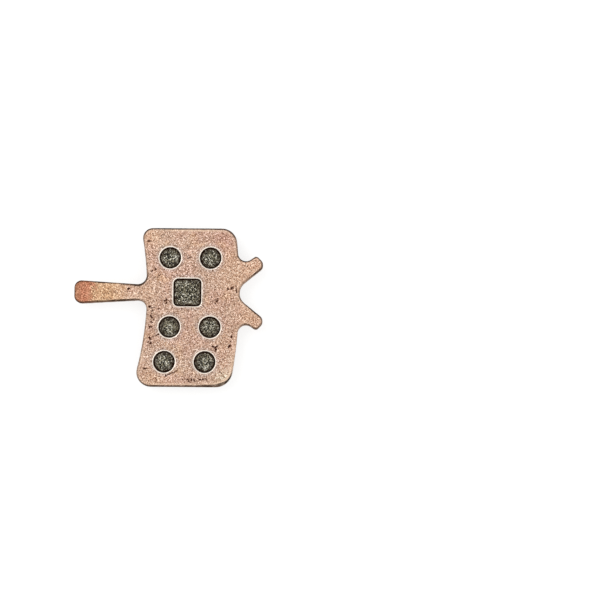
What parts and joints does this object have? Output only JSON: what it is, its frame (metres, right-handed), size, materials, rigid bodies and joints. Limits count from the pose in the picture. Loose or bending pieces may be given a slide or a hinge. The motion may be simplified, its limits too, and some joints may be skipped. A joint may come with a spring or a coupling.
{
  "type": "bicycle disc brake pad",
  "caption": "Bicycle disc brake pad: copper-coated steel backing plate with a pull tab and hooked notch, and a sintered friction block keyed through its holes.",
  "frame": {"origin": "on the friction face, under the centre of the plate's outline", "axes": "+X from the pull tab to the hooks, +Y across the pad, +Z out of the back of the plate; the pad lies on its friction face"},
  "size_m": [0.042, 0.0356, 0.004],
  "materials": {
    "copper_coated_steel": "thin matt copper coat on blanked steel, speckled",
    "sintered_compound": "granular sintered metal, grey with bright specks and dark pores"
  },
  "bodies": {
    "root": {"backing_plate": "copper_coated_steel", "friction_block": "sintered_compound"}
  },
  "joints": []
}
